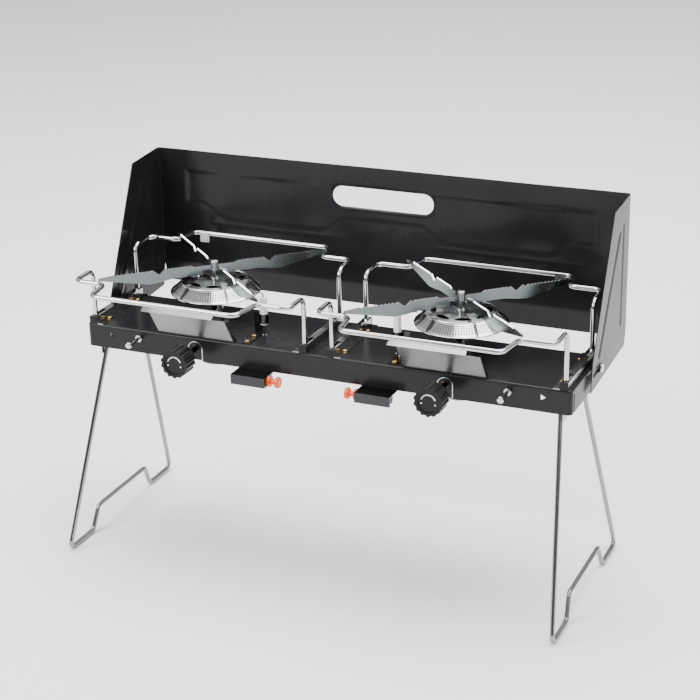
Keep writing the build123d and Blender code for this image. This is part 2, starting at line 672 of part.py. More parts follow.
def leg(side):
    """One wire leg: two pivot ends, two splayed struts and a foot that arches in the middle."""
    foot_z = LEG_ROD / 2 - STAND_HEIGHT
    pivot, foot = side * LEG_PIVOT_X, side * LEG_FOOT_X
    step_y = LEG_FOOT_FLAT - LEG_FOOT_REACH
    half = [
        (pivot, LEG_PIVOT_INSET + 14, LEG_PIVOT_Z),
        (pivot, LEG_PIVOT_INSET, LEG_PIVOT_Z),
        (foot, -LEG_FOOT_REACH, foot_z),
        (foot, step_y, foot_z),
        (foot - side * 1.5, step_y + LEG_ARCH_RUN, foot_z + LEG_ARCH_HEIGHT),
    ]
    other_half = [(x, TRAY_DEPTH - y, z) for x, y, z in reversed(half)]
    return bent_rod(half + other_half, LEG_ROD, [6.0] * 8)


def leg_bracket(side):
    """Bracket under the tray: two ears for the pivot ends and two stop tabs beside the struts."""
    pivot = side * LEG_PIVOT_X
    plate_z = (-2 * SHEET, -SHEET)
    outer = side * (LEG_PIVOT_X + 5)
    shape = block((outer - side * 17, outer), (8, TRAY_DEPTH - 8), plate_z)
    for y in (24.0, TRAY_DEPTH - 26.0):
        shape += block((outer - side * 12, outer), (y, y + 2), (-30, -SHEET))
        shape -= rod_y(pivot, (y - 1, y + 3), LEG_PIVOT_Z, LEG_ROD / 2 + RUNNING_FIT)
    for y in ((8, 20), (TRAY_DEPTH - 20, TRAY_DEPTH - 8)):
        shape += block((outer - side * 1.3, outer), y, (-36, -SHEET))
    screw_x = side * (BURNER_X + POST_OFFSET - RAIL_SCREW_X)
    for y in RAIL_SCREW_YS:
        shape -= rod_z(screw_x, y, (-5, 0), SCREW_R)
    return shape


for side_name, side in SIDES:
    save(f"leg_{side_name}", leg(side))
save("leg_brackets", *[leg_bracket(side) for side in both])


# ---- Windshield and its hinge pins ----------------------------------------------------------

def windshield():
    """One sheet: a rear panel with a handle slot, a kicked-out flap and two side panels."""
    inner_y = SHIELD_Y - SHEET
    rear_view = [
        (inner_y, SHIELD_TOP_Z), (inner_y, FLAP_BEND_Z), (FLAP_BOTTOM_Y - SHEET, FLAP_BOTTOM_Z),
        (FLAP_BOTTOM_Y, FLAP_BOTTOM_Z), (SHIELD_Y, FLAP_BEND_Z), (SHIELD_Y, SHIELD_TOP_Z)]
    shape = sheet_in_yz(rear_view, -SHIELD_X, 2 * SHIELD_X)
    side_view = [
        (SHIELD_Y, SHIELD_TOP_Z), (SHIELD_Y, FLAP_BEND_Z), (SHIELD_Y - 1, 0), (172, -15),
        (52, -22), (56, 8), (119.5, 141.5)]
    for x in (-SHIELD_X, SHIELD_X - SHEET):
        shape += sheet_in_yz(side_view, x, SHEET)
    # A pressed panel round the handle slot, sunk to the back, with a deeper bay at each side.
    right_half = [(46, 84), (68, 67), (186, 67), (215, 84), (237, 84), (237, 124)]
    left_half = [(-x, z) for x, z in reversed(right_half)]
    outline = Plane.XZ.offset(-inner_y) * make_face(Polyline(*right_half, *left_half, close=True))
    pressed = extrude(outline, -SHEET)
    shape = shape - pressed + Pos(0, PRESS_DEPTH, 0) * pressed
    handle = SlotOverall(HANDLE_LENGTH, HANDLE_HEIGHT)
    shape -= Pos(0, SHIELD_Y + 5, HANDLE_Z) * Rot(90, 0, 0) * extrude(handle, 10)
    slot_span = SLIDE_TRAVEL + 2 * (PIN_R + RUNNING_FIT)
    slot = SlotOverall(slot_span, 2 * (PIN_R + RUNNING_FIT))
    cutter = extrude(Plane.YZ.offset(-300) * slot, 600)
    return shape - Pos(0, PIVOT_Y - SLIDE_TRAVEL / 2, PIVOT_Z) * cutter


def hinge_pin(side):
    """Shouldered pin through the tray's end flange and the windshield's slot."""
    head = rod_x((side * (SHIELD_X + 0.3), side * (SHIELD_X + 3)), PIVOT_Y, PIVOT_Z, 5.0)
    head = fillet(head.edges().filter_by(GeomType.CIRCLE), 1.0)
    return head + rod_x((side * (END_X - 7), side * (SHIELD_X + 1)), PIVOT_Y, PIVOT_Z, PIN_R)


def hinge_washer(side):
    inner, outer = END_X + 0.3, SHIELD_X - SHEET - 0.3
    shape = rod_x((side * inner, side * outer), PIVOT_Y, PIVOT_Z, 5.5)
    return shape - rod_x((side * (inner - 1), side * (outer + 1)), PIVOT_Y, PIVOT_Z, PIN_R)


def hinge_nut(side):
    thickness = 4.0
    turned = Rot(0, 90, 0) * hex_nut(9, thickness, PIN_R)
    middle_x = side * (END_X - 3.4)
    return Pos(middle_x - thickness / 2, PIVOT_Y, PIVOT_Z) * turned


save("windshield", windshield())
save("hinge_pins", *[hinge_pin(side) for side in both])
save("hinge_washers", *[hinge_washer(side) for side in both])
save("hinge_nuts", *[hinge_nut(side) for side in both])
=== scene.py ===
import json
import math

import bmesh
import bpy
from mathutils import Matrix, Vector, geometry


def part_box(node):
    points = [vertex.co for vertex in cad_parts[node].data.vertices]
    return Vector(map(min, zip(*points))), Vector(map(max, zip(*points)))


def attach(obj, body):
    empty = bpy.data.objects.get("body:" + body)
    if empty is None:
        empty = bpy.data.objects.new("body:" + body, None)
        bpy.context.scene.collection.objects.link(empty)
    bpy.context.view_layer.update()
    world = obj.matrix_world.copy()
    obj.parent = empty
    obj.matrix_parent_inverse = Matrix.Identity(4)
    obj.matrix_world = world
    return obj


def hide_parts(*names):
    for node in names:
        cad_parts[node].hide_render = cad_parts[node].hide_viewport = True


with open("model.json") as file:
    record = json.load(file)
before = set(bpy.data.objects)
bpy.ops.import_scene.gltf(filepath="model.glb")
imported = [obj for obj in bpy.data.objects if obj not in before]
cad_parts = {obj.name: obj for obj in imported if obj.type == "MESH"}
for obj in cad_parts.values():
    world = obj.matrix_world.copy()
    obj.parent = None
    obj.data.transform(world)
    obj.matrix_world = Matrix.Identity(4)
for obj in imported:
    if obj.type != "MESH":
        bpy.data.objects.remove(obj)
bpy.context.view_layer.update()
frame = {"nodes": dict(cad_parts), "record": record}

# ---- Places -----------------------------------------------------------------------------------
# Lengths are in metres. at() takes a place measured from the tray: x from its middle, y from its
# front edge and z from its top face.

MM = 0.001
SIDES = ("left", "right")
TRAY_LOW, TRAY_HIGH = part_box("tray")
SHIELD_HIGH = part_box("windshield")[1]


def at(x, y, z):
    return Vector((x, TRAY_LOW.y + y, TRAY_HIGH.z + z))


def middle(node):
    """The middle of a CAD node's box."""
    low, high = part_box(node)
    return (low + high) / 2


# ---- Materials --------------------------------------------------------------------------------

COAT_ROUGHNESS = 0.06
FINE_DETAIL = 4
BROAD_SCALE = 14
BROAD_DETAIL = 3
RELIEF_HEIGHT = 0.3 * MM


def finish(name, color, metallic, rough, spread, grain, stretch=(1, 1, 1), bump=0.1, tone=0.12,
           coat=0.0, ior=1.5, bare_edge_and_highlight=None):
    """A surface whose colour, roughness and relief vary with a fine grain and broad patches.

    bare_edge_and_highlight is a brighter colour painted on sheet edges that face up or down: partly
    bare cut metal, partly a painted highlight.
    """
    material = bpy.data.materials.new(name)
    material.use_nodes = True
    nodes, links = material.node_tree.nodes, material.node_tree.links
    shader = nodes["Principled BSDF"]
    shader.inputs["Metallic"].default_value = metallic
    shader.inputs["IOR"].default_value = ior
    shader.inputs["Coat Weight"].default_value = coat
    shader.inputs["Coat Roughness"].default_value = COAT_ROUGHNESS
    place = nodes.new("ShaderNodeTexCoord")
    mapping = nodes.new("ShaderNodeMapping")
    mapping.inputs["Scale"].default_value = stretch
    links.new(place.outputs["Object"], mapping.inputs["Vector"])

    fine = nodes.new("ShaderNodeTexNoise")
    fine.inputs["Scale"].default_value = grain
    fine.inputs["Detail"].default_value = FINE_DETAIL
    links.new(mapping.outputs["Vector"], fine.inputs["Vector"])
    broad = nodes.new("ShaderNodeTexNoise")
    broad.inputs["Scale"].default_value = BROAD_SCALE
    broad.inputs["Detail"].default_value = BROAD_DETAIL
    links.new(place.outputs["Object"], broad.inputs["Vector"])

    # Half of each noise, added up.
    mixed = nodes.new("ShaderNodeMath")
    mixed.operation = "MULTIPLY_ADD"
    mixed.inputs[1].default_value = 0.5
    links.new(fine.outputs["Fac"], mixed.inputs[0])
    half = nodes.new("ShaderNodeMath")
    half.operation = "MULTIPLY"
    half.inputs[1].default_value = 0.5
    links.new(broad.outputs["Fac"], half.inputs[0])
    links.new(half.outputs["Value"], mixed.inputs[2])

    roughness = nodes.new("ShaderNodeMapRange")
    roughness.inputs["From Min"].default_value = 0.3
    roughness.inputs["From Max"].default_value = 0.7
    roughness.inputs["To Min"].default_value = max(rough - spread, 0.02)
    roughness.inputs["To Max"].default_value = rough + spread
    links.new(mixed.outputs["Value"], roughness.inputs["Value"])
    links.new(roughness.outputs["Result"], shader.inputs["Roughness"])

    ramp = nodes.new("ShaderNodeValToRGB")
    ramp.color_ramp.elements[0].position = 0.35
    ramp.color_ramp.elements[1].position = 0.65
    ramp.color_ramp.elements[0].color = [c * (1 - tone) for c in color] + [1]
    ramp.color_ramp.elements[1].color = [min(c * (1 + tone), 1) for c in color] + [1]
    links.new(mixed.outputs["Value"], ramp.inputs["Fac"])
    tint = ramp.outputs["Color"]
    # Painted highlight: faces pointing up or down get a brighter colour, partly the bare cut edge
    # and partly the light that edge catches.
    if bare_edge_and_highlight:
        surface = nodes.new("ShaderNodeNewGeometry")
        split = nodes.new("ShaderNodeSeparateXYZ")
        upright = nodes.new("ShaderNodeMath")
        upright.operation = "ABSOLUTE"
        share = nodes.new("ShaderNodeMapRange")
        share.inputs["From Min"].default_value = 0.35
        share.inputs["From Max"].default_value = 0.6
        edge_highlight_blend = nodes.new("ShaderNodeMixRGB")
        edge_highlight_blend.inputs["Color2"].default_value = (*bare_edge_and_highlight, 1)
        links.new(surface.outputs["True Normal"], split.inputs["Vector"])
        links.new(split.outputs["Z"], upright.inputs[0])
        links.new(upright.outputs["Value"], share.inputs["Value"])
        links.new(share.outputs["Result"], edge_highlight_blend.inputs["Fac"])
        links.new(tint, edge_highlight_blend.inputs["Color1"])
        tint = edge_highlight_blend.outputs["Color"]
    links.new(tint, shader.inputs["Base Color"])

    relief = nodes.new("ShaderNodeBump")
    relief.inputs["Strength"].default_value = bump
    relief.inputs["Distance"].default_value = RELIEF_HEIGHT
    links.new(fine.outputs["Fac"], relief.inputs["Height"])
    links.new(relief.outputs["Normal"], shader.inputs["Normal"])
    return material


FINISHES = {
    "enamel": finish("black_enamel", (0.011, 0.011, 0.012), 0, 0.22, 0.08, 700, bump=0.1,
                     tone=0.3, ior=1.28),
    "chrome": finish("chrome_wire", (0.52, 0.52, 0.53), 1, 0.1, 0.04, 300, bump=0.03, tone=0.08),
    "burner_chrome": finish("polished_burner", (0.60, 0.60, 0.60), 1, 0.12, 0.06, 200, bump=0.04,
                            tone=0.14),
    "stainless": finish("brushed_stainless", (0.25, 0.25, 0.247), 1, 0.28, 0.07, 60,
                        stretch=(1, 30, 30), bump=0.1, tone=0.1),
    # The arms' up- and down-facing edges get a near-white colour: bare punched edges plus a painted
    # highlight.
    "arm_steel": finish("arm_steel", (0.15, 0.17, 0.172), 1, 0.2, 0.05, 1400, bump=0.06,
                        tone=0.16, bare_edge_and_highlight=(0.85, 0.85, 0.85)),
    "galvanised": finish("zinc_plate", (0.36, 0.365, 0.365), 1, 0.18, 0.05, 160, bump=0.03,
                         tone=0.08),
    "holder_steel": finish("holder_steel", (0.045, 0.045, 0.048), 1, 0.24, 0.06, 200,
                           stretch=(1, 12, 12), bump=0.08, tone=0.15),
    "brass": finish("brass", (0.62, 0.40, 0.12), 1, 0.2, 0.08, 300, bump=0.08, tone=0.2),
    "black_plastic": finish("black_plastic", (0.006, 0.006, 0.006), 0, 0.38, 0.1, 1200, bump=0.2,
                            tone=0.3, ior=1.3),
    "orange_plastic": finish("orange_plastic", (0.78, 0.075, 0.003), 0, 0.26, 0.05, 500, bump=0.08,
                             tone=0.1),
    "ceramic": finish("glazed_ceramic", (0.86, 0.85, 0.80), 0, 0.22, 0.06, 400, bump=0.08,
                      tone=0.05, coat=0.5),
    "rubber": finish("lead_sleeve", (0.02, 0.02, 0.02), 0, 0.6, 0.1, 900, bump=0.3, tone=0.2),
    "washer_plastic": finish("washer_plastic", (0.05, 0.05, 0.05), 0, 0.5, 0.1, 800, bump=0.2,
                             tone=0.2),
}
# A darker copy of the chrome wire, used on the legs: painted shade on the same chrome.
LEG_WIRE_SHADED = finish("leg_wire", (0.30, 0.305, 0.31), 1, 0.16, 0.05, 240, bump=0.04, tone=0.1)
# Near-black colour for the inside of the burner: painted shade seen through the flame ports.
INSIDE_PAINTED_SHADE = finish("burner_inside", (0.03, 0.028, 0.026), 1, 0.5, 0.1, 500, bump=0.2, tone=0.3)
MARK_WHITE = finish("mark_white", (0.75, 0.75, 0.74), 0, 0.45, 0.08, 900, bump=0.1, tone=0.06)
BARE_EDGE = finish("bare_edge", (0.78, 0.78, 0.78), 1, 0.22, 0.08, 700, bump=0.1, tone=0.1)

# Leg parts in the chrome slot get the darker copy, which paints shade on them.
for part in frame["record"]["subparts"]:
    is_leg_wire = part["node"].startswith("leg_") and part["material_slot"] == "chrome"
    for socket in frame["nodes"][part["node"]].material_slots:
        socket.material = LEG_WIRE_SHADED if is_leg_wire else FINISHES[part["material_slot"]]


# ---- Mesh helpers -----------------------------------------------------------------------------

SHARP_DEG = 38
ACROSS = Vector((0, 1, 0))
HOLE_SPACING = 0.8               # spacing of points round a hole, as a share of the sheet's
ROW_SPACING = 0.87               # height of a row of near equilateral triangles
EDGE_CLEARANCE = 0.45            # how near to an edge a point inside the sheet may come


def add_object(name, mesh, slot, body, material=None):
    """A piece of mesh, smooth except at its sharp edges, riding on a body."""
    mesh.materials.append(material or FINISHES[slot])
    piece = bpy.data.objects.new(name, mesh)
    bpy.context.scene.collection.objects.link(piece)
    mesh.shade_smooth()
    mesh.set_sharp_from_angle(angle=math.radians(SHARP_DEG))
    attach(piece, body)
    return piece


def thicken(shape, thickness):
    """Give a bmesh surface a thickness, half to each side, with faces round its open edges."""
    shape.normal_update()
    outer = list(shape.verts)
    rim = [edge for edge in shape.edges if edge.is_boundary]
    faces = list(shape.faces)
    below = {v: shape.verts.new(v.co - v.normal * thickness / 2) for v in outer}
    for face in faces:
        shape.faces.new([below[v] for v in reversed(face.verts)])
    for edge in rim:
        loop = edge.link_loops[0]
        a, b = loop.vert, loop.link_loop_next.vert
        shape.faces.new([b, a, below[a], below[b]])
    for v in outer:
        v.co = v.co + v.normal * thickness / 2


def mesh_of(shape, name):
    """The mesh of a bmesh, which this uses up."""
    mesh = bpy.data.meshes.new(name)
    bmesh.ops.recalc_face_normals(shape, faces=shape.faces)
    shape.to_mesh(mesh)
    shape.free()
    return mesh


def lathe(profile, centre, segments=96):
    """A closed (radius, height) profile turned about the vertical axis through centre."""
    shape = bmesh.new()
    rings = []
    for index in range(segments):
        turn = 2 * math.pi * index / segments
        x, y = math.cos(turn), math.sin(turn)
        rings.append([shape.verts.new(centre + Vector((r * x, r * y, z))) for r, z in profile])
    for index, ring in enumerate(rings):
        following = rings[(index + 1) % segments]
        for j in range(len(profile)):
            k = (j + 1) % len(profile)
            shape.faces.new([ring[j], following[j], following[k], ring[k]])
    return shape


def round_profile(radius, height, thickness, sides=10):
    """The profile of a bead: a circle at a radius and a height."""
    turns = [2 * math.pi * index / sides for index in range(sides)]
    return [(radius + thickness * math.cos(t), height + thickness * math.sin(t)) for t in turns]


def tube(points, radius, sides=8):
    """A round wire through points that lie in a plane of constant y."""
    shape = bmesh.new()
    rings = []
    for index, point in enumerate(points):
        before = points[max(index - 1, 0)]
        after = points[min(index + 1, len(points) - 1)]
        ahead = (after - before).normalized()
        side = ahead.cross(ACROSS).normalized()
        ring = []
        for step in range(sides):
            turn = 2 * math.pi * step / sides
            offset = side * math.cos(turn) + ACROSS * math.sin(turn)
            ring.append(shape.verts.new(point + offset * radius))
        rings.append(ring)
    for first, second in zip(rings, rings[1:]):
        for j in range(sides):
            k = (j + 1) % sides
            shape.faces.new([first[j], first[k], second[k], second[j]])
    shape.faces.new(rings[0])
    shape.faces.new(list(reversed(rings[-1])))
    return shape


def inside(point, outline):
    """Whether a 2-D point lies inside a closed outline."""
    x, y = point
    hit = False
    for (x1, y1), (x2, y2) in zip(outline, outline[1:] + outline[:1]):
        if (y1 > y) != (y2 > y) and x < (x2 - x1) * (y - y1) / (y2 - y1) + x1:
            hit = not hit
    return hit


def edge_distance(point, outline):
    """Distance from a 2-D point to a closed outline."""
    x, y = point
    nearest = math.inf
    for (x1, y1), (x2, y2) in zip(outline, outline[1:] + outline[:1]):
        dx, dy = x2 - x1, y2 - y1
        share = ((x - x1) * dx + (y - y1) * dy) / (dx * dx + dy * dy)
        share = min(max(share, 0), 1)
        nearest = min(nearest, math.hypot(x - x1 - share * dx, y - y1 - share * dy))
    return nearest


def resampled(outline, spacing):
    """A closed outline with points no further apart than spacing."""
    points = []
    for (x1, y1), (x2, y2) in zip(outline, outline[1:] + outline[:1]):
        count = max(1, round(math.hypot(x2 - x1, y2 - y1) / spacing))
        for index in range(count):
            share = index / count
            points.append((x1 + (x2 - x1) * share, y1 + (y2 - y1) * share))
    return points


def capsule(x1, y1, x2, y2, radius, steps=14):
    """A slot outline: two half circles joined by straight sides."""
    heading = math.atan2(y2 - y1, x2 - x1)
    points = []
    for cx, cy, start in ((x2, y2, heading - math.pi / 2), (x1, y1, heading + math.pi / 2)):
        for index in range(steps + 1):
            turn = start + math.pi * index / steps
            points.append((cx + radius * math.cos(turn), cy + radius * math.sin(turn)))
    return points


def sheet_surface(outline, holes, spacing, place):
    """A triangulated sheet with holes, each (s, z) point of the flat blank put in its place."""
    loops = [resampled(outline, spacing)]
    loops += [resampled(hole, spacing * HOLE_SPACING) for hole in holes]
    points, edges = [], []
    for loop in loops:
        first = len(points)
        points += loop
        edges += [(first + i, first + (i + 1) % len(loop)) for i in range(len(loop))]
    low_s, high_s = min(p[0] for p in outline), max(p[0] for p in outline)
    low_z, high_z = min(p[1] for p in outline), max(p[1] for p in outline)
    clear = spacing * EDGE_CLEARANCE
    row = 0
    z = low_z + spacing / 2
    while z < high_z:
        s = low_s + spacing / 2 + (row % 2) * spacing / 2
        while s < high_s:
            if inside((s, z), outline) and edge_distance((s, z), outline) > clear:
                blocked = any(
                    inside((s, z), hole) or edge_distance((s, z), hole) < clear for hole in holes)
                if not blocked:
                    points.append((s, z))
            s += spacing
        z += spacing * ROW_SPACING
        row += 1
    flat = [Vector(p) for p in points]
    result = geometry.delaunay_2d_cdt(flat, edges, [], 0, 1e-9)
    shape = bmesh.new()
    verts = [shape.verts.new(place(v.x, v.y)) for v in result[0]]
    for face in result[2]:
        centre = sum((result[0][i] for i in face), Vector((0, 0))) / len(face)
        if inside(centre, outline) and not any(inside(centre, hole) for hole in holes):
            shape.faces.new([verts[i] for i in face])
    loose = [v for v in shape.verts if not v.link_faces]
    bmesh.ops.delete(shape, geom=loose, context="VERTS")
    return shape


def ramp_to(distance, width):
    """0 at the outline, rising smoothly to 1 at width."""
    share = min(max(distance / width, 0), 1)
    return share * share * (3 - 2 * share)


# ---- Windshield -------------------------------------------------------------------------------
# One sheet, drawn flat: s runs along its length from the middle of the rear panel, round each
# corner and forwards along the side panel. z is measured from the tray's top face.

SHEET = 1 * MM
SHEET_SHARE = 0.96               # thickness shown, so that the waves stay inside the CAD box
SHEET_SPACING = 2.6 * MM
FLAP_KICK = 3.5 * MM
FLAP_BEND_Z = 13 * MM
FLAP_LOW_Z = -10 * MM
BEND_SOFTNESS = 2.5 * MM
REAR_Y = SHIELD_HIGH.y - TRAY_LOW.y - FLAP_KICK - SHEET / 2
SIDE_X = SHIELD_HIGH.x - SHEET / 2
TOP_Z = SHIELD_HIGH.z - TRAY_HIGH.z
CORNER_R = 1.5 * MM
CORNER_S = SIDE_X - CORNER_R
CORNER_LENGTH = CORNER_R * math.pi / 2
SIDE_S = CORNER_S + CORNER_LENGTH
PIVOT_Y = middle("hinge_pins").y - TRAY_LOW.y
PIVOT_Z = middle("hinge_pins").z - TRAY_HIGH.z
SLOT_R = 2.55 * MM
SLOT_TRAVEL = 22 * MM
HANDLE_Z = 110.5 * MM
HANDLE_R = 11.5 * MM
HANDLE_HALF = 58 * MM


def side_s(y):
    """Place along the flat sheet of a point on the side panel."""
    return SIDE_S + (REAR_Y - CORNER_R - y)


def both_halves(points):
    """An outline and its mirror image about the middle of the rear panel."""
    return points + [(-s, z) for s, z in reversed(points)]


SHIELD_OUTLINE = both_halves([
    (side_s(REAR_Y - CORNER_R), TOP_Z),
    (side_s(119.5 * MM), TOP_Z - 3.5 * MM),
    (side_s(56 * MM), 8 * MM),
    (side_s(52 * MM), -22 * MM),
    (side_s(172 * MM), -15 * MM),
    (SIDE_S + 0.4 * MM, 0),
    (CORNER_S + 1.2 * MM, 11 * MM),
    (CORNER_S + 0.4 * MM, FLAP_LOW_Z),
])
HANDLE_HOLE = capsule(-HANDLE_HALF + HANDLE_R, HANDLE_Z, HANDLE_HALF - HANDLE_R, HANDLE_Z,
                      HANDLE_R)
PIN_SLOT = capsule(side_s(PIVOT_Y), PIVOT_Z, side_s(PIVOT_Y - SLOT_TRAVEL), PIVOT_Z, SLOT_R,
                   steps=8)
PRESSED = both_halves([
    (237 * MM, 124 * MM), (237 * MM, 84 * MM), (215 * MM, 84 * MM), (186 * MM, 67 * MM),
    (68 * MM, 67 * MM), (46 * MM, 84 * MM)])
GROOVE = capsule(side_s(140 * MM), 114 * MM, side_s(77 * MM), 8 * MM, 4 * MM)
RIB = capsule(side_s(153 * MM), 119 * MM, side_s(153 * MM), 14 * MM, 3 * MM)
PRESS_DEPTH = 0.9 * MM
PRESS_EDGE = 6 * MM
WAVE_DEPTH = 0.45 * MM
WAVE_FADE_Z = 20 * MM            # the waves die out this far from the flap's bend
WAVE_FADE_S = 30 * MM            # and this far from a corner
RELIEF_Z = 11.5 * MM
RELIEF_WIDTH = 1.3 * MM
GROOVE_DEPTH = 1.1 * MM
GROOVE_EDGE = 3 * MM
LIP_WIDTH = 3 * MM
LIP_DEPTH = 1.4 * MM


def pressed_depth(s, z):
    """How far the sheet is pressed out of its plane."""
    depth = 0
    if abs(s) < CORNER_S:
        if inside((s, z), PRESSED):
            depth += PRESS_DEPTH * ramp_to(edge_distance((s, z), PRESSED), PRESS_EDGE)
        # Thin sheet never stays quite flat.
        settle = ramp_to(z - FLAP_BEND_Z, WAVE_FADE_Z) * ramp_to(CORNER_S - abs(s), WAVE_FADE_S)
        long_wave = math.sin(s / (46 * MM) + 1.3) * math.sin(z / (21 * MM) + 0.4)
        short_wave = math.sin(s / (19 * MM) - z / (33 * MM)) / 2
        depth += WAVE_DEPTH * settle * (long_wave + short_wave)
        near = edge_distance((s, z), HANDLE_HOLE)
        if near < LIP_WIDTH:
            depth += LIP_DEPTH * (1 - near / LIP_WIDTH) ** 2
    else:
        for outline in (GROOVE, RIB):
            if inside((abs(s), z), outline):
                near = edge_distance((abs(s), z), outline)
                depth -= GROOVE_DEPTH * ramp_to(near, GROOVE_EDGE)
    return depth


def shield_place(s, z):
    """Where a point of the flat blank lies on the bent and pressed sheet."""
    side = math.copysign(1, s)
    reach = abs(s)
    depth = pressed_depth(s, z)
    on_flap = z < RELIEF_Z and reach < CORNER_S + RELIEF_WIDTH
    if reach <= CORNER_S or on_flap:
        below = FLAP_BEND_Z - z
        if below > BEND_SOFTNESS:
            kick = below
        elif below > -BEND_SOFTNESS:
            kick = (below + BEND_SOFTNESS) ** 2 / (4 * BEND_SOFTNESS)
        else:
            kick = 0
        slope = FLAP_KICK / (FLAP_BEND_Z - FLAP_LOW_Z)
        return at(side * reach, REAR_Y + depth + kick * slope, z)
    if reach < SIDE_S:
        turn = (reach - CORNER_S) / CORNER_R
        x = CORNER_S + CORNER_R * math.sin(turn)
        return at(side * x, REAR_Y - CORNER_R * (1 - math.cos(turn)), z)
    return at(side * (SIDE_X + depth), REAR_Y - CORNER_R - (reach - SIDE_S), z)


pin_slots = [PIN_SLOT, [(-s, z) for s, z in reversed(PIN_SLOT)]]
shield = sheet_surface(SHIELD_OUTLINE, [HANDLE_HOLE] + pin_slots, SHEET_SPACING, shield_place)
thicken(shield, SHEET * SHEET_SHARE)
windshield = add_object("windshield_sheet", mesh_of(shield, "windshield_sheet"), "enamel",
                        "windshield")
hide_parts("windshield")


# ---- Burner bands with their flame ports ------------------------------------------------------

BAND_SHEET = 0.7 * MM
PORT_R = 0.92 * MM
PORT_ROWS = 5
PORT_COLUMNS = 100
PORT_SIDES = 8
MARGIN = 0.14                    # plain share of the band above and below the ports
BAND_TAPER = 11.7 * MM           # how much narrower a band is at its top, in radius
SEAM_R = 0.75 * MM
CAP_SEAM_R = 0.7 * MM
LINING_SHEET = 0.5 * MM
LINING_HOLE_R = 4.2 * MM


def burner_band(node):
    """Conical band, pierced by rows of small round ports."""
    low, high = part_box(node)
    centre = Vector(((low.x + high.x) / 2, (low.y + high.y) / 2, 0))
    bottom_r = (high.x - low.x) / 2 - BAND_SHEET / 2
    top_r = bottom_r - BAND_TAPER
    slant = math.hypot(bottom_r - top_r, high.z - low.z)

    def spot(column, share):
        """A point on the cone: columns go round it, share goes up it."""
        turn = 2 * math.pi * column / PORT_COLUMNS
        radius = bottom_r + (top_r - bottom_r) * share
        height = low.z + (high.z - low.z) * share
        return centre + Vector((radius * math.cos(turn), radius * math.sin(turn), height))

    shape = bmesh.new()
    made = {}

    def vert(column, share):
        """The vertex at a point, the same one for every face that meets there."""
        key = (round((column % PORT_COLUMNS) * 1000) % (PORT_COLUMNS * 1000), round(share * 1e5))
        if key not in made:
            made[key] = shape.verts.new(spot(column, share))
        return made[key]

    row_step = (1 - 2 * MARGIN) / PORT_ROWS
    for column in range(PORT_COLUMNS):
        for low_share, high_share in ((0, MARGIN), (1 - MARGIN, 1)):
            corners = [(column, low_share), (column + 0.5, low_share), (column + 1, low_share),
                       (column + 1, high_share), (column + 0.5, high_share), (column, high_share)]
            shape.faces.new([vert(*corner) for corner in corners])
        for row in range(PORT_ROWS):
            base = MARGIN + row * row_step
            mid_share = base + row_step / 2
            radius = bottom_r + (top_r - bottom_r) * mid_share
            wide = PORT_R / (2 * math.pi * radius / PORT_COLUMNS)
            tall = PORT_R / slant
            outer, inner = [], []
            for step in range(PORT_SIDES):
                turn = 2 * math.pi / PORT_SIDES * step
                x, y = math.cos(turn), math.sin(turn)
                reach = max(abs(x), abs(y))
                outer.append(vert(column + 0.5 + 0.5 * x / reach,
                                  mid_share + row_step / 2 * y / reach))
                inner.append(shape.verts.new(spot(column + 0.5 + wide * x, mid_share + tall * y)))
            for step in range(PORT_SIDES):
                after = (step + 1) % PORT_SIDES
                shape.faces.new([outer[step], outer[after], inner[after], inner[step]])
    thicken(shape, BAND_SHEET)
    return shape


def lining_profile(outer_r, foot_z, top_z):
    """Cone just inside a band, closed at its top but for a hole round the hub post, coloured
    near-black as painted shade behind the ports.
    """
    foot_r = outer_r - 2.1 * MM
    top_r = outer_r - 13.4 * MM
    return [
        (foot_r, foot_z),
        (top_r, top_z),
        (LINING_HOLE_R, top_z),
        (LINING_HOLE_R, top_z - LINING_SHEET),
        (top_r - 0.3 * MM, top_z - LINING_SHEET),
        (foot_r - 0.6 * MM, foot_z),
    ]


def dress_burner(side):
    """The pierced band, the rolled seams below and above it, and inside it a lining coloured
    near-black as painted shade.
    """
    node = f"burner_band_{side}"
    band = add_object(f"port_band_{side}", mesh_of(burner_band(node), node), "burner_chrome", "tray")
    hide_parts(node)
    low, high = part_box(node)
    axis = Vector((middle(node).x, middle(node).y, 0))
    outer_r = (high.x - low.x) / 2
    seam = lathe(round_profile(outer_r - 0.1 * MM, low.z - 0.4 * MM, SEAM_R), axis)
    add_object(f"pan_seam_{side}", mesh_of(seam, "pan_seam"), "burner_chrome", "tray")
    lining = lathe(lining_profile(outer_r, low.z + 0.7 * MM, high.z - 0.8 * MM), axis)
    # The lining's near-black colour paints the shade inside the burner.
    add_object(f"burner_lining_{side}", mesh_of(lining, "lining"), "burner_chrome", "tray", INSIDE_PAINTED_SHADE)
    cap_seam = lathe(round_profile(outer_r - 11.6 * MM, high.z + 0.3 * MM, CAP_SEAM_R), axis)
    add_object(f"cap_seam_{side}", mesh_of(cap_seam, "cap_seam"), "burner_chrome", "tray")


for side in SIDES:
    dress_burner(side)


# ---- Knob marks and the bare edges of the lip notches -----------------------------------------

MARK_HEIGHT = 0.25 * MM
MARK_R = 7.4 * MM                # from the knob's axis to the middle of its marks
ARC_DEG = (20, 165)              # where the arc starts and ends
ARC_WIDTH = (1.5 * MM, 0.7 * MM)
ARC_STEPS = 28
DOT_DEG = (195, -18)
DOT_R = 0.8 * MM
DOT_SIDES = 16
DISH_DEPTH = 1.2 * MM
LIP_NOTCH_R = 8 * MM
NOTCH_STEPS = 18
NOTCH_EDGE_R = 0.42 * MM


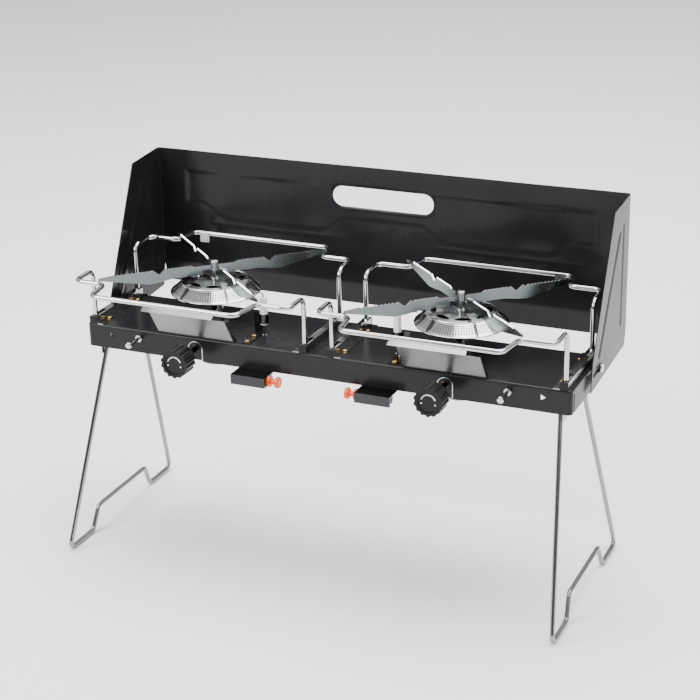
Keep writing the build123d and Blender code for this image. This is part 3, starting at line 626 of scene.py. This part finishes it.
def arc_mark(centre):
    """A raised arc on the knob's face that narrows from its start to its end."""
    shape = bmesh.new()
    inner, outer = [], []
    for index in range(ARC_STEPS + 1):
        share = index / ARC_STEPS
        turn = math.radians(ARC_DEG[0] + (ARC_DEG[1] - ARC_DEG[0]) * share)
        half = (ARC_WIDTH[0] + (ARC_WIDTH[1] - ARC_WIDTH[0]) * share) / 2
        ray = Vector((math.cos(turn), 0, math.sin(turn)))
        inner.append(shape.verts.new(centre + ray * (MARK_R - half)))
        outer.append(shape.verts.new(centre + ray * (MARK_R + half)))
    for index in range(ARC_STEPS):
        shape.faces.new([inner[index], outer[index], outer[index + 1], inner[index + 1]])
    thicken(shape, MARK_HEIGHT)
    return shape


def dot_mark(centre):
    """A raised dot on the knob's face."""
    shape = bmesh.new()
    turns = [2 * math.pi * index / DOT_SIDES for index in range(DOT_SIDES)]
    ring = [centre + Vector((math.cos(t), 0, math.sin(t))) * DOT_R for t in turns]
    shape.faces.new([shape.verts.new(point) for point in ring])
    thicken(shape, MARK_HEIGHT)
    return shape


def mark_knob(side):
    """An arc and two dots on the knob's dished face."""
    knob = f"knob_{side}"
    face = Vector((middle(knob).x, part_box(knob)[0].y + DISH_DEPTH, middle(knob).z))
    add_object(f"knob_arc_{side}", mesh_of(arc_mark(face), "knob_arc"), "black_plastic", knob,
               MARK_WHITE)
    for number, turn_deg in enumerate(DOT_DEG):
        turn = math.radians(turn_deg)
        spot = face + Vector((math.cos(turn), 0, math.sin(turn))) * MARK_R
        add_object(f"knob_dot_{number}_{side}", mesh_of(dot_mark(spot), "knob_dot"),
                   "black_plastic", knob, MARK_WHITE)


def edge_notch(side):
    """The bright cut edge of the tray's lip round a valve stem."""
    stem = middle(f"valve_stem_{side}")
    edge_y = TRAY_LOW.y + 0.25 * MM
    foot_z = TRAY_LOW.z + 0.5 * MM
    arch = [Vector((stem.x - LIP_NOTCH_R, edge_y, foot_z))]
    for index in range(NOTCH_STEPS + 1):
        turn = math.pi * (1 - index / NOTCH_STEPS)
        arch.append(Vector((stem.x + LIP_NOTCH_R * math.cos(turn), edge_y,
                            stem.z + LIP_NOTCH_R * math.sin(turn))))
    arch.append(Vector((stem.x + LIP_NOTCH_R, edge_y, foot_z)))
    add_object(f"notch_edge_{side}", mesh_of(tube(arch, NOTCH_EDGE_R), "notch_edge"), "galvanised",
               "tray", BARE_EDGE)


for side in SIDES:
    mark_knob(side)
    edge_notch(side)


# ---- Floor, light and camera ------------------------------------------------------------------

FLOOR_HALF = 6
FLOOR_DROP = 0.5 * MM

# Name, place, the point it faces, width and height, power in watts.
SOFTBOXES = (
    ("key", (-1.3, -1.5, 1.7), (0, 0, 0.25), (1.1, 1.1), 55),
    ("fill", (1.7, -0.9, 1.1), (0, 0, 0.25), (0.8, 1.2), 8),
    ("overhead", (0.1, 0.5, 2.2), (0, 0.3, 0), (2.4, 2.0), 110),
)

# Height from straight down, 0, to straight up, 1, and how bright the studio is there.
STUDIO_LEVELS = ((0.0, 0.8), (0.46, 0.8), (0.5, 0.12), (0.6, 0.2), (0.75, 0.95), (1.0, 1.0))
STUDIO_STRENGTH = 1.0

CAMERA_PLACE = at(0.6988, -1.5000, 0.6598)
CAMERA_TURN_DEG = (23.8, 21.59, -1.23)    # azimuth, downward tilt and roll
LENS_MM = 91.76
SENSOR_MM = 36


def floor():
    """Plain pale floor just under the stove's feet."""
    shape = bmesh.new()
    half = FLOOR_HALF
    corners = [(-half, -half), (half, -half), (half, half), (-half, half)]
    shape.faces.new([shape.verts.new((x, y, -FLOOR_DROP)) for x, y in corners])
    mesh = bpy.data.meshes.new("floor")
    shape.to_mesh(mesh)
    shape.free()
    mesh.materials.append(finish("pale_floor", (0.93, 0.93, 0.93), 0, 0.7, 0.05, 40, bump=0.0,
                                 tone=0.004))
    plane = bpy.data.objects.new("floor", mesh)
    bpy.context.scene.collection.objects.link(plane)


def softbox(name, place, target, size, power):
    light = bpy.data.lights.new(name, "AREA")
    light.shape = "RECTANGLE"
    light.size, light.size_y = size
    light.energy = power
    lamp = bpy.data.objects.new(name, light)
    lamp.location = place
    lamp.rotation_euler = (Vector(target) - Vector(place)).to_track_quat("-Z", "Y").to_euler()
    bpy.context.scene.collection.objects.link(lamp)


def studio_world():
    """A bright studio that darkens towards the horizon, so that metal has something to reflect."""
    world = bpy.data.worlds.new("studio")
    bpy.context.scene.world = world
    world.use_nodes = True
    nodes, links = world.node_tree.nodes, world.node_tree.links
    place = nodes.new("ShaderNodeTexCoord")
    split = nodes.new("ShaderNodeSeparateXYZ")
    ramp = nodes.new("ShaderNodeValToRGB")
    height = nodes.new("ShaderNodeMapRange")
    height.inputs["From Min"].default_value = -1
    links.new(place.outputs["Generated"], split.inputs["Vector"])
    links.new(split.outputs["Z"], height.inputs["Value"])
    links.new(height.outputs["Result"], ramp.inputs["Fac"])
    ramp.color_ramp.elements[0].position = STUDIO_LEVELS[0][0]
    ramp.color_ramp.elements[1].position = STUDIO_LEVELS[-1][0]
    for position, _ in STUDIO_LEVELS[1:-1]:
        ramp.color_ramp.elements.new(position)
    for element, (_, level) in zip(ramp.color_ramp.elements, STUDIO_LEVELS):
        element.color = (level, level, level, 1)
    links.new(ramp.outputs["Color"], nodes["Background"].inputs["Color"])
    nodes["Background"].inputs["Strength"].default_value = STUDIO_STRENGTH


def studio_camera():
    azimuth, elevation, roll = map(math.radians, CAMERA_TURN_DEG)
    right = Vector((math.cos(azimuth), math.sin(azimuth), 0))
    ahead = Vector((-math.sin(azimuth) * math.cos(elevation),
                    math.cos(azimuth) * math.cos(elevation), -math.sin(elevation)))
    up = right.cross(ahead)
    side = right * math.cos(roll) + up * math.sin(roll)
    top = up * math.cos(roll) - right * math.sin(roll)
    data = bpy.data.cameras.new("camera")
    data.lens = LENS_MM
    data.sensor_width = SENSOR_MM
    camera = bpy.data.objects.new("camera", data)
    turn = Matrix((side, top, -ahead)).transposed().to_4x4()
    camera.matrix_world = Matrix.Translation(CAMERA_PLACE) @ turn
    bpy.context.scene.collection.objects.link(camera)
    bpy.context.scene.camera = camera


floor()
for box in SOFTBOXES:
    softbox(*box)
studio_world()
studio_camera()
